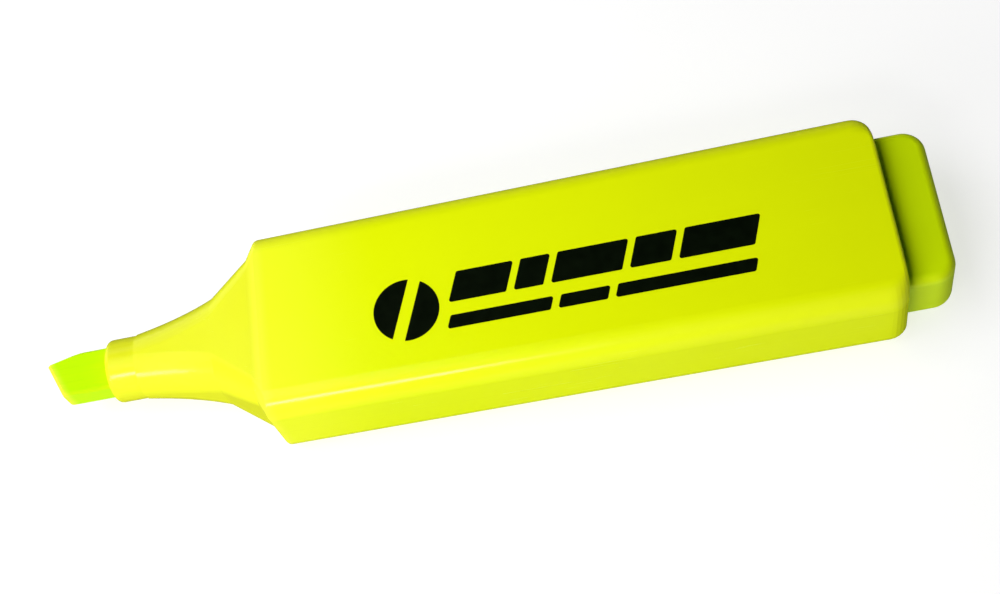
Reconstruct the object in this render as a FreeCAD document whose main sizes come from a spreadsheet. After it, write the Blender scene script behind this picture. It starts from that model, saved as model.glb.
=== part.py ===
"""Flat desk highlighter: moulded shell, chisel nib, ink reservoir in its film, and end plug.

The pen lies on its back face. +X runs from the nib to the end plug, +Z up through the broad face.
Every piece is drawn in a local frame whose origin is the middle of the barrel's front shoulder,
then placed so that the row's origin is under the middle of the whole pen, on the table.
"""
import FreeCAD, Part
import math
import os
import Sketcher

DIMENSIONS = [
    # the pen as a whole
    ("overall_length", 110.6),      # nib tip to the end of the boss
    ("nib_reach", 28.5),            # nib tip to the shoulder
    # barrel
    ("barrel_length", 76.2),
    ("barrel_thickness", 13.0),
    ("shoulder_width", 24.3),
    ("mouth_width", 25.5),
    ("barrel_rounding", 2.9),       # radius of the four long edges
    ("plan_rounding", 2.4),         # radius of the two rear corners, seen from above
    ("mouth_edge_rounding", 0.5),
    ("wall", 1.2),
    # nose: see also the stations below
    ("shoulder_rounding", 0.7),     # the soft crease where the barrel's faces turn in
    ("collar_radius", 3.95),
    ("collar_length", 3.9),
    ("collar_rounding", 0.7),
    ("nose_length", 20.4),          # shoulder to the front rim of the collar
    # nib
    ("nib_width", 5.6),
    ("nib_thickness", 3.45),
    ("nib_edge_rounding", 0.45),
    ("nib_tip_width", 4.35),
    ("nib_tip_shift", 0.52),        # the tip's middle lies this far to -Y of the nib's axis
    ("nib_slant", 1.9),             # how far the slanted end falls back across its width
    ("nib_taper_start", 4.8),       # tip to where the sides begin to draw in
    ("nib_bevel", 0.4),
    ("nib_tail", 6.0),              # length of nib buried in the reservoir
    # reservoir and film
    ("reservoir_start", 1.0),
    ("reservoir_end", 66.0),
    ("reservoir_width", 18.6),
    ("reservoir_thickness", 8.4),
    ("reservoir_rounding", 3.2),
    ("film", 0.15),
    ("film_setback", 0.6),
    # ribs that hold the reservoir clear of the walls
    ("rib_start", 2.0),
    ("rib_length", 60.0),
    ("rib_width", 1.0),
    ("rib_spacing", 9.0),
    # end plug
    ("plug_recess", 0.6),           # flange lies this far inside the mouth
    ("plug_wall", 1.2),
    ("plug_width", 23.0),
    ("plug_thickness", 10.9),
    ("plug_rounding", 1.8),
    ("skirt_length", 6.4),
    ("bead_height", 0.25),
    ("bead_length", 0.9),
    ("bead_setback", 1.4),          # skirt's front rim to the bead
    ("boss_width", 20.2),
    ("boss_thickness", 8.5),
    ("boss_length", 5.9),           # from the mouth to the boss's end
    ("boss_corner", 2.7),
    ("boss_edge_rounding", 1.1),
    ("fin_thickness", 1.0),
    ("fin_spacing", 10.0),
    ("fin_height", 7.6),
]

# The nose's stations: distance ahead of the shoulder, half width, half thickness, corner radius.
NOSE_STATIONS = [
    ("root", 1.20, 9.80, 6.36, 2.90),
    ("kink", 6.30, 6.25, 5.38, 3.80),
    ("waist", 9.00, 5.48, 4.94, 3.95),
    ("throat", 13.00, 4.60, 4.42, 3.98),
    ("neck", 16.50, 4.05, 4.05, 3.98),
]

# The cavity inside the nose, in the same terms.
CAVITY_STATIONS = [
    ("cavity_mouth", 1.60, 8.40, 5.10, 1.80),
    ("cavity_kink", 6.30, 5.05, 4.20, 2.60),
    ("cavity_front", 9.00, 4.30, 3.75, 2.80),
]

# Where the barrel's mouth end is cut into sections: shares of the corner's arc, then steps round the rim.
CORNER_SHARES = (0, 0.25, 0.5, 0.75, 1)
RIM_DEGREES = (30, 60, 90)

NODES = ["body_shell", "end_plug", "chisel_nib", "ink_reservoir", "reservoir_film"]


def fill_sheet(document):
    """The spreadsheet of driving dimensions: name in column A, value with its alias in column B."""
    cells = list(DIMENSIONS)
    for name, reach, half_width, half_thickness, corner in NOSE_STATIONS + CAVITY_STATIONS:
        cells += [(name + "_reach", reach), (name + "_width", 2 * half_width)]
        cells += [(name + "_thickness", 2 * half_thickness), (name + "_corner", corner)]
    sheet = document.addObject("Spreadsheet::Sheet", "Sizes")
    for row, (alias, value) in enumerate(cells, start=1):
        sheet.set("A%d" % row, alias)
        sheet.set("B%d" % row, "%g" % value)
        sheet.setAlias("B%d" % row, alias)
    document.recompute()
    return sheet


def sized(expression):
    """Write a formula over the sheet's aliases, such as 'wall * 2', as a FreeCAD expression."""
    words = []
    for word in expression.replace("(", " ( ").replace(")", " ) ").split():
        is_alias = word[0].isalpha() and word != "sqrt"
        words.append("Sizes." + word if is_alias else word)
    return " ".join(words).replace("sqrt (", "sqrt(")


def value_of(body, expression):
    return float(body.evalExpression(sized(expression)))


def new_body(document, name):
    """A body whose local origin is the middle of the barrel's shoulder."""
    body = document.addObject("PartDesign::Body", name)
    body.Label = name
    body.setExpression("Placement.Base.x", sized("nib_reach - overall_length / 2"))
    body.setExpression("Placement.Base.z", sized("barrel_thickness / 2"))
    return body


def new_sketch(body, name, plane, offset="0"):
    """A sketch on one of the body's own origin planes, moved along that plane's normal."""
    sketch = body.newObject("Sketcher::SketchObject", name)
    for feature in body.Origin.OriginFeatures:
        if feature.Role == plane:
            sketch.AttachmentSupport = [(feature, "")]
    sketch.MapMode = "FlatFace"
    sketch.setExpression("AttachmentOffset.Base.z", sized(offset))
    return sketch


def drive(sketch, constraint, expression):
    """Add a dimension to the sketch and bind it to the sheet."""
    index = sketch.addConstraint(constraint)
    sketch.setExpression("Constraints[%d]" % index, sized(expression))


def rounded_rectangle(body, name, offset, width, height, corner):
    """A rounded rectangle across the pen, centred on its axis, at offset behind the shoulder."""
    sketch = new_sketch(body, name, "YZ_Plane", offset)
    radius = value_of(body, corner)
    straight_x = value_of(body, width) / 2 - radius
    straight_y = value_of(body, height) / 2 - radius
    centres = []
    for side_x, side_y in ((1, 1), (-1, 1), (-1, -1), (1, -1)):
        centres.append(FreeCAD.Vector(side_x * straight_x, side_y * straight_y, 0))
    for quarter, centre in enumerate(centres):
        start = quarter * math.pi / 2
        circle = Part.Circle(centre, FreeCAD.Vector(0, 0, 1), radius)
        sketch.addGeometry(Part.ArcOfCircle(circle, start, start + math.pi / 2))
        outward = FreeCAD.Vector(math.cos(start + math.pi / 2), math.sin(start + math.pi / 2), 0)
        following = centres[(quarter + 1) % 4]
        sketch.addGeometry(Part.LineSegment(centre + outward * radius, following + outward * radius))
    for quarter in range(4):
        arc, line, next_arc = 2 * quarter, 2 * quarter + 1, (2 * quarter + 2) % 8
        sketch.addConstraint(Sketcher.Constraint("Tangent", arc, 2, line, 1))
        sketch.addConstraint(Sketcher.Constraint("Tangent", line, 2, next_arc, 1))
        direction = "Horizontal" if quarter % 2 == 0 else "Vertical"
        sketch.addConstraint(Sketcher.Constraint(direction, line))
        if quarter:
            sketch.addConstraint(Sketcher.Constraint("Equal", 0, arc))
    sketch.addConstraint(Sketcher.Constraint("Symmetric", 0, 3, 4, 3, -1, 1))
    drive(sketch, Sketcher.Constraint("Radius", 0, radius), corner)
    full_x = 2 * (straight_x + radius)
    full_y = 2 * (straight_y + radius)
    drive(sketch, Sketcher.Constraint("DistanceX", 3, 1, 7, 1, full_x), width)
    drive(sketch, Sketcher.Constraint("DistanceY", 5, 1, 1, 1, full_y), height)
    return sketch


def polygon(body, name, plane, offset, corners):
    """A closed outline of straight lines; each corner is a pair of formulas from the origin."""
    sketch = new_sketch(body, name, plane, offset)
    add_loop(body, sketch, corners)
    return sketch


def add_loop(body, sketch, corners):
    """Draw one closed loop of lines in the sketch and fix its corners by the sheet's sizes."""
    points = []
    for across, along in corners:
        points.append(FreeCAD.Vector(value_of(body, across), value_of(body, along), 0))
    first = sketch.GeometryCount
    count = len(points)
    for index, point in enumerate(points):
        sketch.addGeometry(Part.LineSegment(point, points[(index + 1) % count]))
    for index, (across, along) in enumerate(corners):
        line = first + index
        before = first + (index - 1) % count
        sketch.addConstraint(Sketcher.Constraint("Coincident", before, 2, line, 1))
        drive(sketch, Sketcher.Constraint("DistanceX", -1, 1, line, 1, points[index].x), across)
        drive(sketch, Sketcher.Constraint("DistanceY", -1, 1, line, 1, points[index].y), along)


def extrude(body, kind, name, sketch, length, both_ways=False):
    """A Pad or Pocket of the sketch, towards the end plug or both ways from its plane."""
    feature = body.newObject("PartDesign::" + kind, name)
    feature.Profile = sketch
    feature.setExpression("Length", sized(length))
    feature.Midplane = both_ways
    feature.Reversed = kind == "Pocket"
    return feature


def loft(body, kind, name, sections, ruled):
    """A loft through the sections, straight between them when ruled."""
    feature = body.newObject("PartDesign::" + kind, name)
    feature.Profile = sections[0]
    feature.Sections = sections[1:]
    feature.Ruled = ruled
    return feature


def edges_where(feature, test):
    """The names of the feature's edges that pass the test."""
    names = []
    for number, edge in enumerate(feature.Shape.Edges, start=1):
        if test(edge):
            names.append("Edge%d" % number)
    return names


def soften(body, kind, name, size, test):
    """Fillet or Chamfer every edge of the body's tip that passes the test."""
    body.Document.recompute()
    tip = body.Tip
    names = edges_where(tip, test)
    if not names:
        raise RuntimeError("no edge for " + name)
    feature = body.newObject("PartDesign::" + kind, name)
    feature.Base = (tip, names)
    feature.setExpression("Radius" if kind == "Fillet" else "Size", sized(size))
    body.Document.recompute()
    return feature


def lies_at(edge, x=None, z=None, slack=0.02):
    """True when the whole edge lies at the given local coordinates; z ignores the sign."""
    box = edge.BoundBox
    if x is not None and max(abs(box.XMin - x), abs(box.XMax - x)) > slack:
        return False
    if z is not None and max(abs(abs(box.ZMin) - z), abs(abs(box.ZMax) - z)) > slack:
        return False
    return True


def station_sections(body, stations):
    """One rounded rectangle for each station of the nose or its cavity."""
    sections = []
    for name, *_ in stations:
        sections.append(rounded_rectangle(body, "Section_" + name, "0 - %s_reach" % name,
                                          name + "_width", name + "_thickness", name + "_corner"))
    return sections


def build_barrel(body):
    """The barrel's solid block: a slightly tapered slab with rounded long edges."""
    slab_end = "barrel_length - plan_rounding"
    corners = [("0", "shoulder_width / 2"), (slab_end, "mouth_width / 2"),
               (slab_end, "0 - mouth_width / 2"), ("0", "0 - shoulder_width / 2")]
    plan = polygon(body, "BarrelPlan", "XY_Plane", "0", corners)
    extrude(body, "Pad", "Barrel", plan, "barrel_thickness", both_ways=True)
    half_thickness = value_of(body, "barrel_thickness / 2")
    long_run = value_of(body, "barrel_length / 2")
    soften(body, "Fillet", "LongEdges", "barrel_rounding",
           lambda edge: lies_at(edge, z=half_thickness) and edge.BoundBox.XLength > long_run)


def build_mouth_end(body):
    """The barrel's last stretch, where its two corners curve in and its rim is softened."""
    sections = []
    rim_start = 1 - value_of(body, "mouth_edge_rounding / plan_rounding")
    for share in CORNER_SHARES:
        turn = math.asin(rim_start) * share
        setback = "plan_rounding * %.5f" % (1 - math.sin(turn))
        sections.append(mouth_section(body, "Corner%d" % len(sections), setback, "0"))
    for degrees in RIM_DEGREES:
        turn = math.radians(degrees)
        setback = "mouth_edge_rounding * %.5f" % (1 - math.sin(turn))
        thinning = "mouth_edge_rounding * %.5f" % (1 - math.cos(turn))
        sections.append(mouth_section(body, "Rim%d" % len(sections), setback, thinning))
    loft(body, "AdditiveLoft", "MouthEnd", sections, ruled=True)


def mouth_section(body, name, setback, thinning):
    """The barrel's section at setback before the mouth, on the circle that rounds its corners."""
    reach = "( plan_rounding - %s )" % setback
    half_chord = "sqrt ( plan_rounding * plan_rounding - %s * %s )" % (reach, reach)
    return rounded_rectangle(body, name, "barrel_length - " + setback,
                             "mouth_width - plan_rounding * 2 + 2 * " + half_chord,
                             "barrel_thickness - 2 * " + thinning, "barrel_rounding")


def build_nose(body):
    """The nose ahead of the shoulder: sloping lip, wedge, flared neck and round collar."""
    shoulder = rounded_rectangle(body, "ShoulderSection", "0", "shoulder_width",
                                 "barrel_thickness", "barrel_rounding")
    root, kink, *neck = station_sections(body, NOSE_STATIONS)
    loft(body, "AdditiveLoft", "Wedge", [shoulder, root, kink], ruled=True)
    loft(body, "AdditiveLoft", "Neck", [kink] + neck, ruled=False)
    collar = new_sketch(body, "CollarCircle", "YZ_Plane", "0 - nose_length")
    radius = value_of(body, "collar_radius")
    collar.addGeometry(Part.Circle(FreeCAD.Vector(0, 0, 0), FreeCAD.Vector(0, 0, 1), radius))
    collar.addConstraint(Sketcher.Constraint("Coincident", 0, 3, -1, 1))
    drive(collar, Sketcher.Constraint("Radius", 0, radius), "collar_radius")
    extrude(body, "Pad", "Collar", collar, "collar_length")
    rim = value_of(body, "0 - nose_length")
    soften(body, "Fillet", "CollarRim", "collar_rounding", lambda edge: lies_at(edge, x=rim))
    soften(body, "Fillet", "ShoulderEdge", "shoulder_rounding", lambda edge: lies_at(edge, x=0))


def hollow_shell(body):
    """The shell's inside: barrel cavity, nose cavity, nib channel, plug seat and its snap groove."""
    inner_front = rounded_rectangle(body, "CavityFront", "0", "shoulder_width - wall * 2",
                                    "barrel_thickness - wall * 2", "barrel_rounding - wall")
    inner_rear = rounded_rectangle(body, "CavityRear", "barrel_length", "mouth_width - wall * 2",
                                   "barrel_thickness - wall * 2", "barrel_rounding - wall")
    loft(body, "SubtractiveLoft", "BarrelCavity", [inner_front, inner_rear], ruled=True)
    nose_sections = [inner_front] + station_sections(body, CAVITY_STATIONS)
    loft(body, "SubtractiveLoft", "NoseCavity", nose_sections, ruled=True)
    channel = rounded_rectangle(body, "NibChannelSection", "0 - nose_length - wall", "nib_width",
                                "nib_thickness", "nib_edge_rounding")
    extrude(body, "Pocket", "NibChannel", channel, "nose_length - cavity_front_reach + wall * 2")
    seat = rounded_rectangle(body, "PlugSeatSection", "barrel_length - plug_recess - skirt_length",
                             "plug_width", "plug_thickness", "plug_rounding")
    extrude(body, "Pocket", "PlugSeat", seat, "skirt_length + plug_recess + wall")
    groove = rounded_rectangle(body, "SnapGrooveSection",
                               "barrel_length - plug_recess - skirt_length + bead_setback",
                               "plug_width + bead_height * 2", "plug_thickness + bead_height * 2",
                               "plug_rounding + bead_height")
    extrude(body, "Pocket", "SnapGroove", groove, "bead_length")


def add_ribs(body):
    """Long ribs inside the barrel: two on each broad wall and one on each narrow wall."""
    sketch = new_sketch(body, "RibSection", "YZ_Plane", "rib_start")
    film_half_width = "( reservoir_width / 2 + film )"
    film_half_thickness = "( reservoir_thickness / 2 + film )"
    wall_half_width = "( shoulder_width / 2 - wall / 2 )"
    wall_half_thickness = "( barrel_thickness / 2 - wall / 2 )"
    for side in ("", "0 - "):
        for place in ("rib_spacing / 2", "0 - rib_spacing / 2"):
            left, right = place + " - rib_width / 2", place + " + rib_width / 2"
            corners = [(left, side + film_half_thickness), (right, side + film_half_thickness),
                       (right, side + wall_half_thickness), (left, side + wall_half_thickness)]
            add_loop(body, sketch, corners)
        low, high = "0 - rib_width / 2", "rib_width / 2"
        corners = [(side + film_half_width, low), (side + wall_half_width, low),
                   (side + wall_half_width, high), (side + film_half_width, high)]
        add_loop(body, sketch, corners)
    extrude(body, "Pad", "Ribs", sketch, "rib_length")


def build_body_shell(document):
    body = new_body(document, "body_shell")
    build_barrel(body)
    build_mouth_end(body)
    build_nose(body)
    hollow_shell(body)
    add_ribs(body)
    return body


def build_end_plug(document):
    """The snap-in plug: hollow posting boss, flange, skirt with its bead, and two fins."""
    body = new_body(document, "end_plug")
    flange_face = "( barrel_length - plug_recess )"
    half = "boss_width / 2"
    corners = [(flange_face + " - plug_wall", "0 - " + half),
               ("barrel_length + boss_length", "0 - " + half),
               ("barrel_length + boss_length", half),
               (flange_face + " - plug_wall", half)]
    plan = polygon(body, "BossPlan", "XY_Plane", "0", corners)
    extrude(body, "Pad", "Boss", plan, "boss_thickness", both_ways=True)
    boss_end = value_of(body, "barrel_length + boss_length")
    half_thickness = value_of(body, "boss_thickness / 2")
    soften(body, "Fillet", "BossCorners", "boss_corner",
           lambda edge: lies_at(edge, x=boss_end) and edge.BoundBox.ZLength > half_thickness)
    mouth = value_of(body, "barrel_length")
    soften(body, "Fillet", "BossEdges", "boss_edge_rounding",
           lambda edge: lies_at(edge, z=half_thickness) and edge.BoundBox.XMax > mouth)
    skirt = rounded_rectangle(body, "SkirtSection", flange_face + " - skirt_length", "plug_width",
                              "plug_thickness", "plug_rounding")
    extrude(body, "Pad", "Skirt", skirt, "skirt_length")
    bead = rounded_rectangle(body, "BeadSection", flange_face + " - skirt_length + bead_setback",
                             "plug_width + bead_height * 2", "plug_thickness + bead_height * 2",
                             "plug_rounding + bead_height")
    extrude(body, "Pad", "Bead", bead, "bead_length")
    inside = rounded_rectangle(body, "SkirtInside", flange_face + " - skirt_length",
                               "plug_width - plug_wall * 2", "plug_thickness - plug_wall * 2",
                               "plug_rounding - plug_wall / 2")
    extrude(body, "Pocket", "SkirtHollow", inside, "skirt_length - plug_wall")
    boss_inside = rounded_rectangle(body, "BossInside", flange_face + " - plug_wall * 2",
                                    "boss_width - plug_wall * 2", "boss_thickness - plug_wall * 2",
                                    "plug_wall")
    extrude(body, "Pocket", "BossHollow", boss_inside, "boss_length + plug_recess")
    fins = new_sketch(body, "FinSection", "YZ_Plane", "reservoir_end")
    for side in ("fin_spacing / 2", "0 - fin_spacing / 2"):
        left, right = side + " - fin_thickness / 2", side + " + fin_thickness / 2"
        corners = [(left, "0 - fin_height / 2"), (right, "0 - fin_height / 2"),
                   (right, "fin_height / 2"), (left, "fin_height / 2")]
        add_loop(body, fins, corners)
    extrude(body, "Pad", "Fins", fins, flange_face + " - plug_wall / 2 - reservoir_end")
    return body


def build_nib(document):
    """The chisel nib: one flat felt bar with a slanted, bevelled end, its tail in the reservoir."""
    body = new_body(document, "chisel_nib")
    section = rounded_rectangle(body, "NibSection", "0 - nib_reach", "nib_width", "nib_thickness",
                                "nib_edge_rounding")
    extrude(body, "Pad", "NibBar", section, "nib_reach + reservoir_start + nib_tail")
    taper, tip, beyond = "nib_taper_start - nib_reach", "0 - nib_reach", "0 - nib_reach - nib_width"
    side = "nib_width / 2"
    far_tip, near_tip = "nib_tip_width / 2 - nib_tip_shift", "0 - nib_tip_width / 2 - nib_tip_shift"
    # the outline of what is cut away: the two tapered sides and the slanted end
    corners = [(taper, side), (tip, far_tip), ("nib_slant - nib_reach", near_tip),
               (taper, "0 - " + side), (taper, "0 - nib_width"), (beyond, "0 - nib_width"),
               (beyond, "nib_width"), (taper, "nib_width")]
    trim = polygon(body, "NibTrim", "XY_Plane", "0", corners)
    extrude(body, "Pocket", "NibEnd", trim, "nib_thickness * 2", both_ways=True)
    half_thickness = value_of(body, "nib_thickness / 2")
    half_width = value_of(body, "nib_width / 2")
    soften(body, "Chamfer", "NibBevel", "nib_bevel",
           lambda edge: lies_at(edge, z=half_thickness) and edge.BoundBox.XMax < 0
           and edge.BoundBox.YLength > half_width)
    return body


def build_reservoir(document):
    """The fibre core that holds the ink, slotted at its front end for the nib's tail."""
    body = new_body(document, "ink_reservoir")
    section = rounded_rectangle(body, "CoreSection", "reservoir_start", "reservoir_width",
                                "reservoir_thickness", "reservoir_rounding")
    extrude(body, "Pad", "Core", section, "reservoir_end - reservoir_start")
    slot = rounded_rectangle(body, "NibSlotSection", "reservoir_start", "nib_width",
                             "nib_thickness", "nib_edge_rounding")
    extrude(body, "Pocket", "NibSlot", slot, "nib_tail")
    return body


def build_film(document):
    """The thin plastic film wrapped round the fibre core, open at both ends."""
    body = new_body(document, "reservoir_film")
    start = "reservoir_start + film_setback"
    length = "reservoir_end - reservoir_start - film_setback * 2"
    outside = rounded_rectangle(body, "FilmOutside", start, "reservoir_width + film * 2",
                                "reservoir_thickness + film * 2", "reservoir_rounding + film")
    extrude(body, "Pad", "FilmSleeve", outside, length)
    inside = rounded_rectangle(body, "FilmInside", start, "reservoir_width",
                               "reservoir_thickness", "reservoir_rounding")
    extrude(body, "Pocket", "FilmHollow", inside, length)
    return body


def check_document(document):
    """Stop if any feature failed or any sub-part is not one valid closed solid."""
    for thing in document.Objects:
        if "Invalid" in thing.State or "Error" in thing.State:
            raise RuntimeError("%s failed: %s" % (thing.Label, thing.State))
    for node in NODES:
        shape = document.getObject(node).Shape
        if shape.isNull() or not shape.isValid() or len(shape.Solids) != 1:
            raise RuntimeError("%s is not one valid solid" % node)


def main():
    document = FreeCAD.newDocument("Highlighter")
    fill_sheet(document)
    build_body_shell(document)
    build_end_plug(document)
    build_nib(document)
    build_reservoir(document)
    build_film(document)
    document.recompute()
    check_document(document)
    os.makedirs("parts", exist_ok=True)
    for node in NODES:
        shape = document.getObject(node).Shape
        shape.exportStep(os.path.join("parts", node + ".step"))
        box = shape.BoundBox
        print("%-16s %8.1f mm3  x %.2f..%.2f  y %.2f..%.2f  z %.2f..%.2f" % (
            node, shape.Volume, box.XMin, box.XMax, box.YMin, box.YMax, box.ZMin, box.ZMax))


main()
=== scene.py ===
"""Looks for the flat desk highlighter: moulded plastics, felt nib, pad print, floor, light, camera."""
import math

import bmesh
import bpy
from mathutils import Matrix, Vector


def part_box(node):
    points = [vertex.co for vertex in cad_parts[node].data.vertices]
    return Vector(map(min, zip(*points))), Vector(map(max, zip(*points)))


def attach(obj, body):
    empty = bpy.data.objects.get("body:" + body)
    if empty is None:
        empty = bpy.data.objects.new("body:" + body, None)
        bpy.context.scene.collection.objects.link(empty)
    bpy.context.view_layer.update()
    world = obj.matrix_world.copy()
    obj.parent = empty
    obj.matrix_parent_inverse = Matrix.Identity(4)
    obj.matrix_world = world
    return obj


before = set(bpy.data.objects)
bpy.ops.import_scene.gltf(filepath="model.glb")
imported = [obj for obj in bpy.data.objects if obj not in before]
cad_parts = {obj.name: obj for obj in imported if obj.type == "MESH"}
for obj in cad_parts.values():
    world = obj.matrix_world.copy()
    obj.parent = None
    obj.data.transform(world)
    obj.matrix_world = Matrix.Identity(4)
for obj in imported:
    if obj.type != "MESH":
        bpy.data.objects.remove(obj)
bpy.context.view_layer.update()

MM = 0.001

# places read from the frame, plus the one length inside the shell's box that the frame doesn't give
SHELL_LOW, SHELL_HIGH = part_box("body_shell")
NIB_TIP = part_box("chisel_nib")[0].x
TOP_FACE = SHELL_HIGH.z
MIDDLE = (SHELL_LOW.z + SHELL_HIGH.z) / 2
NOSE_LENGTH = 20.4 * MM
SHOULDER = SHELL_LOW.x + NOSE_LENGTH

# the nib's slanted end, as the part draws it
NIB_TIP_WIDTH = 4.35 * MM
NIB_SLANT = 1.9 * MM                # how far the end falls back across its width
NIB_FAR_CORNER = 1.655 * MM         # Y of the foremost corner

# linear colours, matched to the photo with samples under this scene's light
BARREL_YELLOW = (0.84, 0.98, 0.001, 1)
FRONT_SHEEN_YELLOW = (0.89, 0.99, 0.016, 1)
NOSE_YELLOW = (0.755, 0.79, 0.012, 1)
PLUG_YELLOW = (0.66, 0.88, 0.001, 1)
CREASE_HIGHLIGHT = (0.95, 0.98, 0.06, 1)
BARREL_RUBBED = (0.90, 0.97, 0.03, 1)
PLUG_RUBBED = (0.78, 0.90, 0.01, 1)
NIB_GREEN = (0.51, 0.86, 0.001, 1)
NIB_PALE = (0.78, 1.0, 0.05, 1)
FIBRE_YELLOW = (0.70, 0.90, 0.01, 1)
FILM_DULL = (0.80, 0.86, 0.50, 1)
FILM_BRIGHT = (0.92, 0.95, 0.70, 1)
PRINT_BLACK = (0.0014, 0.0030, 0.0008, 1)
WHITE = (1, 1, 1, 1)


def grey(level):
    return (level, level, level, 1)


def shade(colour, factor):
    """The same colour, brighter or darker."""
    return (colour[0] * factor, colour[1] * factor, colour[2] * factor, 1)


# ---------------------------------------------------------------- materials

class Shader:
    """A node material with one Principled surface and short ways to add to it."""

    def __init__(self, name):
        self.material = bpy.data.materials.new(name)
        self.material.use_nodes = True
        self.nodes = self.material.node_tree.nodes
        self.links = self.material.node_tree.links
        self.surface = self.nodes["Principled BSDF"]
        coordinates = self.nodes.new("ShaderNodeTexCoord")
        self.place = coordinates.outputs["Object"]

    def link(self, source, target):
        self.links.new(source, target)

    def fix(self, **constants):
        """Set surface sockets to constants; Specular_IOR_Level stands for Specular IOR Level."""
        for name, value in constants.items():
            self.surface.inputs[name.replace("_", " ")].default_value = value

    def stretched(self, scale):
        """The object's coordinates, scaled along each axis."""
        mapping = self.nodes.new("ShaderNodeMapping")
        mapping.inputs["Scale"].default_value = scale
        self.link(self.place, mapping.inputs["Vector"])
        return mapping.outputs["Vector"]

    def noise(self, scale, detail=2.0, roughness=0.5, place=None):
        node = self.nodes.new("ShaderNodeTexNoise")
        node.inputs["Scale"].default_value = scale
        node.inputs["Detail"].default_value = detail
        node.inputs["Roughness"].default_value = roughness
        self.link(place or self.place, node.inputs["Vector"])
        return node.outputs["Fac"]

    def ranged(self, value, low, high, to_low=0.0, to_high=1.0, smooth=False):
        """Map low..high to to_low..to_high, clamped at both ends."""
        node = self.nodes.new("ShaderNodeMapRange")
        if smooth:
            node.interpolation_type = "SMOOTHSTEP"
        for name, number in (("From Min", low), ("From Max", high),
                             ("To Min", to_low), ("To Max", to_high)):
            node.inputs[name].default_value = number
        self.link(value, node.inputs["Value"])
        return node.outputs["Result"]

    def calculate(self, operation, first, second=0.0):
        node = self.nodes.new("ShaderNodeMath")
        node.operation = operation
        for slot, value in zip(node.inputs, (first, second)):
            if isinstance(value, (int, float)):
                slot.default_value = value
            else:
                self.link(value, slot)
        return node.outputs["Value"]

    def plus(self, first, second):
        return self.calculate("ADD", first, second)

    def minus(self, first, second):
        return self.calculate("SUBTRACT", first, second)

    def times(self, first, second):
        return self.calculate("MULTIPLY", first, second)

    def distance_from(self, value, centre):
        return self.calculate("ABSOLUTE", self.minus(value, centre))

    def mixed(self, factor, first, second):
        """A colour between two colours, each a constant or another node's output."""
        node = self.nodes.new("ShaderNodeMix")
        node.data_type = "RGBA"
        self.link(factor, node.inputs["Factor"])
        colour_slots = [slot for slot in node.inputs if slot.type == "RGBA"]
        for slot, value in zip(colour_slots, (first, second)):
            if isinstance(value, tuple):
                slot.default_value = value
            else:
                self.link(value, slot)
        return [slot for slot in node.outputs if slot.type == "RGBA"][0]

    def axis(self, name, vector=None):
        """One coordinate of the vector, or of the object's own coordinates."""
        node = self.nodes.new("ShaderNodeSeparateXYZ")
        self.link(vector or self.place, node.inputs["Vector"])
        return node.outputs[name]

    def bump(self, height, distance, strength=1.0, normal=None):
        """Raise the surface by the height, on top of an earlier bump if one is given."""
        node = self.nodes.new("ShaderNodeBump")
        node.inputs["Distance"].default_value = distance
        node.inputs["Strength"].default_value = strength
        self.link(height, node.inputs["Height"])
        if normal is not None:
            self.link(normal, node.inputs["Normal"])
        return node.outputs["Normal"]

    def paint(self, colour, roughness, normal):
        """Finish the surface and return its material."""
        self.link(colour, self.surface.inputs["Base Color"])
        self.link(roughness, self.surface.inputs["Roughness"])
        self.link(normal, self.surface.inputs["Normal"])
        return self.material


def edge_mask(shader):
    """1 on the rounded long edges, 0 on the broad and narrow faces."""
    geometry = shader.nodes.new("ShaderNodeNewGeometry")
    upright = shader.calculate("ABSOLUTE", shader.axis("Z", geometry.outputs["True Normal"]))
    leaving_face = shader.ranged(upright, 0.985, 0.88)
    leaving_side = shader.ranged(upright, 0.12, 0.45)
    return shader.times(leaving_face, leaving_side)


def scratches(shader):
    """Sparse hairlines along the pen, from sliding in and out of pencil cases."""
    streaks = shader.noise(1.0, detail=3.0, roughness=0.6, place=shader.stretched((45, 5200, 5200)))
    patches = shader.ranged(shader.noise(110), 0.52, 0.62)
    return shader.times(shader.ranged(streaks, 0.66, 0.70), patches)


def moulded_plastic(name, colour, gloss, specular):
    """Fluorescent polypropylene: faint orange peel, flow marks, hairline scratches, glossier edges.

    Returns the shader, its base colour, roughness and normal so far, and the mask of its edges.
    """
    shader = Shader(name)
    shader.fix(IOR=1.49, Specular_IOR_Level=specular, Subsurface_Weight=0.12,
               Subsurface_Radius=(1.0, 1.0, 0.15), Subsurface_Scale=1.2 * MM)
    flow = shader.noise(42, detail=3.0, roughness=0.55, place=shader.stretched((0.35, 1, 1)))
    base = shader.mixed(shader.ranged(flow, 0.3, 0.7), shade(colour, 0.95), shade(colour, 1.01))
    edges = edge_mask(shader)
    lines = scratches(shader)
    peel = shader.noise(900, detail=2.0, roughness=0.4)
    smudges = shader.noise(75, detail=4.0, roughness=0.6)
    roughness = shader.ranged(smudges, 0.35, 0.7, gloss, gloss + 0.07)
    roughness = shader.minus(roughness, shader.times(edges, 0.05))
    roughness = shader.plus(roughness, shader.times(lines, 0.12))
    normal = shader.bump(peel, 0.012 * MM, strength=0.6)
    normal = shader.bump(shader.minus(1.0, lines), 0.006 * MM, strength=0.5, normal=normal)
    return shader, base, roughness, normal, edges


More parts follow.
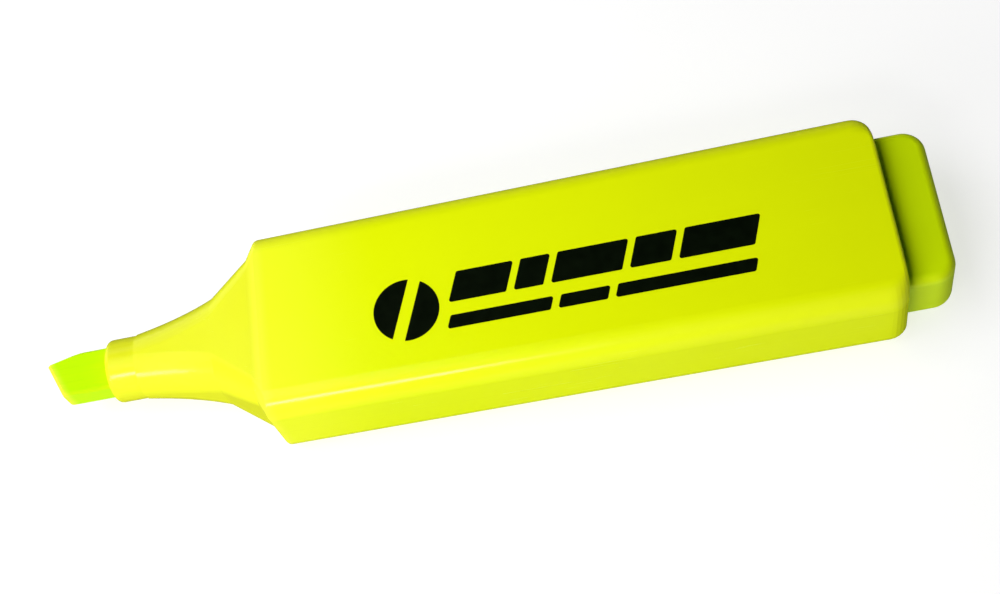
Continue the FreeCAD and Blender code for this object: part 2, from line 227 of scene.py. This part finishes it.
def body_plastic():
    """The shell's plastic: yellower on the nose than along the barrel, with a painted sheen that makes
    the barrel paler and bluer just behind the shoulder.
    """
    shader, base, roughness, normal, edges = moulded_plastic("body_plastic", BARREL_YELLOW, 0.20, 0.45)
    along = shader.axis("X")
    # painted sheen: a paler, bluer band on the barrel just behind the shoulder
    front_sheen = shader.ranged(along, SHOULDER + 16 * MM, SHOULDER + 1 * MM, smooth=True)
    base = shader.mixed(front_sheen, base, FRONT_SHEEN_YELLOW)
    on_nose = shader.ranged(along, SHOULDER + 0.5 * MM, SHOULDER - 1 * MM, smooth=True)
    base = shader.mixed(on_nose, base, NOSE_YELLOW)
    # a painted highlight along the soft crease at the shoulder, where its rounding catches the light
    from_crease = shader.distance_from(along, SHOULDER)
    crease_highlight = shader.ranged(from_crease, 0.2 * MM, 1.5 * MM, 0.5, 0.0, smooth=True)
    base = shader.mixed(crease_highlight, base, CREASE_HIGHLIGHT)
    base = shader.mixed(shader.times(edges, 0.35), base, BARREL_RUBBED)
    # the mould's parting line, a hair's width along the middle of each narrow side
    from_middle = shader.distance_from(shader.axis("Z"), MIDDLE)
    seam = shader.ranged(from_middle, 0.03 * MM, 0.09 * MM, 1.0, 0.0)
    normal = shader.bump(seam, 0.008 * MM, strength=0.7, normal=normal)
    return shader.paint(base, roughness, normal)


def plug_plastic():
    """The end plug's plastic: the same family, a little greener and less glossy."""
    shader, base, roughness, normal, edges = moulded_plastic("plug_plastic", PLUG_YELLOW, 0.36, 0.3)
    base = shader.mixed(shader.times(edges, 0.25), base, PLUG_RUBBED)
    return shader.paint(base, roughness, normal)


def nib_felt():
    """Ink-soaked bonded fibre: strands along the nib, paler in streaks towards the cut end."""
    shader = Shader("nib_felt")
    shader.fix(Specular_IOR_Level=0.07, Subsurface_Weight=0.15,
               Subsurface_Radius=(0.6, 1.0, 0.1), Subsurface_Scale=0.6 * MM)
    strands = shader.noise(1.0, detail=3.0, roughness=0.6, place=shader.stretched((260, 4200, 4200)))
    clumps = shader.noise(1.0, detail=2.0, roughness=0.5, place=shader.stretched((120, 1300, 1300)))
    grain = shader.plus(shader.times(strands, 0.6), shader.times(clumps, 0.4))
    base = shader.mixed(shader.ranged(grain, 0.35, 0.65), shade(NIB_GREEN, 0.93), NIB_GREEN)
    # a paler band runs beside the slanted end
    slope = NIB_SLANT / NIB_TIP_WIDTH
    from_end = shader.plus(shader.axis("X"), shader.times(shader.axis("Y"), slope))
    end = NIB_TIP + NIB_FAR_CORNER * slope
    pale_band = shader.ranged(from_end, end + 0.2 * MM, end + 1.3 * MM, 1.0, 0.0, smooth=True)
    pale_streaks = shader.times(pale_band, shader.ranged(strands, 0.2, 0.6, 0.35, 0.8))
    base = shader.mixed(pale_streaks, base, NIB_PALE)
    roughness = shader.ranged(clumps, 0.3, 0.7, 0.55, 0.8)
    return shader.paint(base, roughness, shader.bump(grain, 0.05 * MM, strength=0.8))


def reservoir_fibre():
    """The hidden core: a bundle of long fibres soaked in ink."""
    shader = Shader("reservoir_fibre")
    shader.fix(Specular_IOR_Level=0.2)
    strands = shader.noise(1.0, detail=4.0, roughness=0.6, place=shader.stretched((60, 5200, 5200)))
    base = shader.mixed(shader.ranged(strands, 0.3, 0.7), shade(FIBRE_YELLOW, 0.75), FIBRE_YELLOW)
    roughness = shader.ranged(strands, 0.3, 0.7, 0.6, 0.9)
    return shader.paint(base, roughness, shader.bump(strands, 0.08 * MM))


def film():
    """The hidden wrap: clear film with fine creases."""
    shader = Shader("film")
    shader.fix(Alpha=0.5, IOR=1.5)
    creases = shader.noise(1.0, detail=3.0, roughness=0.6, place=shader.stretched((90, 700, 700)))
    base = shader.mixed(creases, FILM_DULL, FILM_BRIGHT)
    roughness = shader.ranged(creases, 0.3, 0.7, 0.1, 0.3)
    return shader.paint(base, roughness, shader.bump(creases, 0.05 * MM))


def print_ink():
    """Black pad-printing ink, satin, with the slightly uneven lay of a thin wet film."""
    shader = Shader("print_ink")
    shader.fix(Specular_IOR_Level=0.12)
    lay = shader.noise(700, detail=3.0, roughness=0.6)
    base = shader.mixed(shader.ranged(lay, 0.35, 0.7), PRINT_BLACK, shade(PRINT_BLACK, 1.7))
    roughness = shader.ranged(lay, 0.3, 0.7, 0.38, 0.55)
    return shader.paint(base, roughness, shader.bump(lay, 0.004 * MM, strength=0.6))


def floor_paint():
    """Plain pale board, faintly mottled, bright enough to read as white."""
    shader = Shader("floor_paint")
    shader.fix(Specular_IOR_Level=0.0, Emission_Color=WHITE)
    # the glow grows with distance, so that the board stays white where the lamps don't reach
    distance = shader.nodes.new("ShaderNodeVectorMath")
    distance.operation = "LENGTH"
    shader.link(shader.place, distance.inputs[0])
    glow = shader.ranged(distance.outputs["Value"], 0.10, 0.45, 0.70, 0.95, smooth=True)
    shader.link(glow, shader.surface.inputs["Emission Strength"])
    mottle = shader.noise(30, detail=3.0)
    base = shader.mixed(mottle, grey(0.36), grey(0.40))
    roughness = shader.ranged(mottle, 0, 1, 0.8, 0.9)
    return shader.paint(base, roughness, shader.bump(mottle, 0.01 * MM, strength=0.2))


def backdrop_paper():
    """Glowing white paper."""
    shader = Shader("backdrop_paper")
    shader.fix(Emission_Color=WHITE, Emission_Strength=1.0)
    mottle = shader.noise(3)
    base = shader.mixed(mottle, grey(0.01), grey(0.02))
    roughness = shader.ranged(mottle, 0, 1, 0.8, 0.9)
    return shader.paint(base, roughness, shader.bump(mottle, MM, strength=0.1))


def dress(target, material):
    """Give an object this one material."""
    target.data.materials.clear()
    target.data.materials.append(material)


def dress_nodes():
    """Give each of the part's nodes its own material."""
    paints = {"body_shell": body_plastic, "end_plug": plug_plastic, "chisel_nib": nib_felt,
              "ink_reservoir": reservoir_fibre, "reservoir_film": film}
    for node, make_paint in paints.items():
        dress(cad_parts[node], make_paint())


def place_in_scene(name, data):
    """An object that holds this data, in the scene."""
    thing = bpy.data.objects.new(name, data)
    bpy.context.scene.collection.objects.link(thing)
    return thing


def object_from(mesh, name):
    """An object in the scene with this bmesh's shape."""
    data = bpy.data.meshes.new(name)
    mesh.to_mesh(data)
    mesh.free()
    return place_in_scene(name, data)


# ---------------------------------------------------------------- printed marks

PRINT_HEIGHT = 0.015 * MM       # how far the ink film stands above the face
PRINT_SLANT = 0.35              # lean of the marks' ends, run over rise
PRINT_LEFT = SHOULDER + 18.2 * MM
PRINT_RIGHT = SHOULDER + 60.6 * MM

DISC_RADIUS = 4.0 * MM
DISC_MIDDLE = -2.3 * MM
DISC_GAP = 1.5 * MM
DISC_TO_ROWS = 1.8 * MM

STROKE_GAP = 0.9 * MM
# each row: how its strokes share its length, its middle, its height, its corners' radius
BOLD_ROW = ((6.2, 3.2, 7.6, 4.4, 8.0), -0.4 * MM, 3.9 * MM, 0.28 * MM)
THIN_ROW = ((10.5, 5.0, 14.0), -4.9 * MM, 1.7 * MM, 0.28 * MM)
THIN_ROW_SHIFT = 0.9 * MM       # the thin row starts and ends this far to the left of the bold one


def film_from_outlines(name, outlines):
    """One thin raised ink film from flat closed outlines of (x, y) in metres.

    Its faces are made one by one, because bmesh's extrude gives them in another order each run.
    """
    mesh = bmesh.new()
    for outline in outlines:
        low = [mesh.verts.new((x, y, TOP_FACE - PRINT_HEIGHT)) for x, y in outline]
        high = [mesh.verts.new((x, y, TOP_FACE + PRINT_HEIGHT)) for x, y in outline]
        mesh.faces.new(low[::-1])
        mesh.faces.new(high)
        for here in range(len(outline)):
            mesh.faces.new((low[here - 1], low[here], high[here], high[here - 1]))
    bmesh.ops.recalc_face_normals(mesh, faces=mesh.faces)
    return object_from(mesh, name)


def rounded_outline(corners, radius, steps=5):
    """The convex outline through these corners, each rounded to the radius by a short arc."""
    outline = []
    count = len(corners)
    for index, corner in enumerate(corners):
        here = Vector(corner)
        back = (Vector(corners[index - 1]) - here).normalized()
        ahead = (Vector(corners[(index + 1) % count]) - here).normalized()
        half_angle = back.angle(ahead) / 2
        centre = here + (back + ahead).normalized() * (radius / math.sin(half_angle))
        first = here + back * (radius / math.tan(half_angle)) - centre
        last = here + ahead * (radius / math.tan(half_angle)) - centre
        sweep = first.angle_signed(last)
        for step in range(steps + 1):
            turn = -sweep * step / steps
            outline.append(tuple(centre + Matrix.Rotation(turn, 2) @ first))
    return outline


def stroke(left, right, middle, height, radius):
    """A printed bar with slanted ends, like the mark of a chisel nib."""
    lean = PRINT_SLANT * height / 2
    low, high = middle - height / 2, middle + height / 2
    corners = [(left - lean, low), (right - lean, low), (right + lean, high), (left + lean, high)]
    return rounded_outline(corners, radius)


def row_of_strokes(left, right, shares, middle, height, radius):
    """Bars that share the run from left to right in these proportions, with even gaps."""
    run = right - left - STROKE_GAP * (len(shares) - 1)
    strokes = []
    for share in shares:
        length = run * share / sum(shares)
        strokes.append(stroke(left, left + length, middle, height, radius))
        left += length + STROKE_GAP
    return strokes


def disc_halves(centre, radius, gap, steps=40):
    """A disc cut in two by a slanted gap."""
    halves = []
    lean = math.atan2(1, PRINT_SLANT)
    cut = math.asin(gap / 2 / radius)
    for side in (0, math.pi):
        start, end = lean + cut + side, lean + math.pi - cut + side
        half = []
        for step in range(steps + 1):
            turn = start + (end - start) * step / steps
            half.append((centre[0] + radius * math.cos(turn), centre[1] + radius * math.sin(turn)))
        halves.append(half)
    return halves


def add_print():
    """Generic print on the broad face, without letters: a split disc, a bold row and a thin row."""
    rows_left = PRINT_LEFT + DISC_RADIUS + DISC_TO_ROWS
    marks = {
        "print_disc": disc_halves((PRINT_LEFT, DISC_MIDDLE), DISC_RADIUS, DISC_GAP),
        "print_bold_row": row_of_strokes(rows_left, PRINT_RIGHT, *BOLD_ROW),
        "print_thin_row": row_of_strokes(rows_left - THIN_ROW_SHIFT, PRINT_RIGHT - THIN_ROW_SHIFT,
                                         *THIN_ROW),
    }
    ink = print_ink()
    for name, outlines in marks.items():
        piece = film_from_outlines(name, outlines)
        dress(piece, ink)
        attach(piece, "root")


# ---------------------------------------------------------------- floor, light and camera

FLOOR_HALF_SIZE = 2.5           # metres
BACKDROP_RADIUS = 2.4           # metres

# each lamp: name, place, width, depth, power in watts, and whether glossy surfaces show it
LAMPS = [
    ("key", (-0.105, -0.235, 0.25), 0.13, 0.055, 0.25, True),
    ("streak", (-0.22, -0.195, 0.157), 0.09, 0.05, 0.11, True),
    ("overhead", (-0.14, 0.0, 0.26), 0.22, 0.22, 0.67, False),
    ("low", (-0.16, -0.15, 0.09), 0.20, 0.20, 0.27, False),
    ("back", (-0.25, 0.20, 0.12), 0.26, 0.26, 0.17, True),
]

CAMERA_AZIMUTH = 12.358         # degrees round from the near side, towards the end plug
CAMERA_ELEVATION = 63.298       # degrees above the table
CAMERA_ROLL = -21.797           # degrees
CAMERA_DISTANCE = 210.3 * MM
CAMERA_AIM = Vector((SHOULDER + 28.98 * MM, -0.59 * MM, 8.29 * MM))
CAMERA_LENS = 62.61             # mm, for the sensor's width
SENSOR_WIDTH = 36               # mm


def add_floor():
    mesh = bmesh.new()
    bmesh.ops.create_grid(mesh, x_segments=8, y_segments=8, size=FLOOR_HALF_SIZE)
    floor = object_from(mesh, "floor")
    dress(floor, floor_paint())
    floor.visible_glossy = False


def add_backdrop():
    """A white surround far behind everything, seen by the camera only."""
    mesh = bmesh.new()
    bmesh.ops.create_uvsphere(mesh, u_segments=32, v_segments=16, radius=BACKDROP_RADIUS)
    backdrop = object_from(mesh, "backdrop")
    for flag in ("visible_diffuse", "visible_glossy", "visible_transmission",
                 "visible_volume_scatter", "visible_shadow"):
        setattr(backdrop, flag, False)
    dress(backdrop, backdrop_paper())


def add_softbox(name, place, width, depth, power, mirrored):
    """A rectangular area light that faces the shoulder."""
    data = bpy.data.lights.new(name, "AREA")
    data.shape = "RECTANGLE"
    data.size, data.size_y = width, depth
    data.energy = power
    lamp = place_in_scene(name, data)
    lamp.location = place
    lamp.visible_camera = False
    lamp.visible_glossy = mirrored
    towards_pen = Vector((SHOULDER, 0, MIDDLE)) - lamp.location
    lamp.rotation_euler = towards_pen.to_track_quat("-Z", "Y").to_euler()


def ranged_in_world(nodes, links, value, start, result):
    """Map the value from the pair start to the pair result."""
    node = nodes.new("ShaderNodeMapRange")
    for name, number in zip(("From Min", "From Max", "To Min", "To Max"), start + result):
        node.inputs[name].default_value = number
    links.new(value, node.inputs["Value"])
    return node.outputs["Result"]


def add_room():
    """The room's bounce: bright to the left and below, dim to the right, with a dark ceiling."""
    world = bpy.data.worlds.new("studio")
    bpy.context.scene.world = world
    world.use_nodes = True
    nodes, links = world.node_tree.nodes, world.node_tree.links
    direction = nodes.new("ShaderNodeTexCoord")
    parts = nodes.new("ShaderNodeSeparateXYZ")
    links.new(direction.outputs["Generated"], parts.inputs["Vector"])
    leftward = ranged_in_world(nodes, links, parts.outputs["X"], (-0.3, 0.12), (0.62, 0.04))
    downward = ranged_in_world(nodes, links, parts.outputs["Z"], (-0.1, 0.3), (1.0, 0.0))
    bounce = nodes.new("ShaderNodeMath")
    bounce.operation = "MULTIPLY_ADD"
    links.new(leftward, bounce.inputs[0])
    links.new(downward, bounce.inputs[1])
    bounce.inputs[2].default_value = 0.10
    links.new(bounce.outputs["Value"], nodes["Background"].inputs["Strength"])


def light_scene():
    add_room()
    for lamp in LAMPS:
        add_softbox(*lamp)
    bpy.context.scene.view_settings.view_transform = "Standard"
    bpy.context.scene.view_settings.look = "None"


def add_camera():
    """The photographer's view: above the near side, turned and rolled."""
    azimuth, elevation = math.radians(CAMERA_AZIMUTH), math.radians(CAMERA_ELEVATION)
    roll = math.radians(CAMERA_ROLL)
    back = Vector((math.sin(azimuth) * math.cos(elevation),
                   -math.cos(azimuth) * math.cos(elevation), math.sin(elevation)))
    level = Vector((math.cos(azimuth), math.sin(azimuth), 0))
    rise = back.cross(level)
    right = level * math.cos(roll) + rise * math.sin(roll)
    up = rise * math.cos(roll) - level * math.sin(roll)
    data = bpy.data.cameras.new("camera")
    data.lens, data.sensor_width = CAMERA_LENS, SENSOR_WIDTH
    data.clip_start, data.clip_end = 0.01, 10
    camera = place_in_scene("camera", data)
    turned = Matrix((right, up, back)).transposed().to_4x4()
    camera.matrix_world = Matrix.Translation(CAMERA_AIM + back * CAMERA_DISTANCE) @ turned
    bpy.context.scene.camera = camera


add_camera()
dress_nodes()
add_print()
add_floor()
add_backdrop()
light_scene()
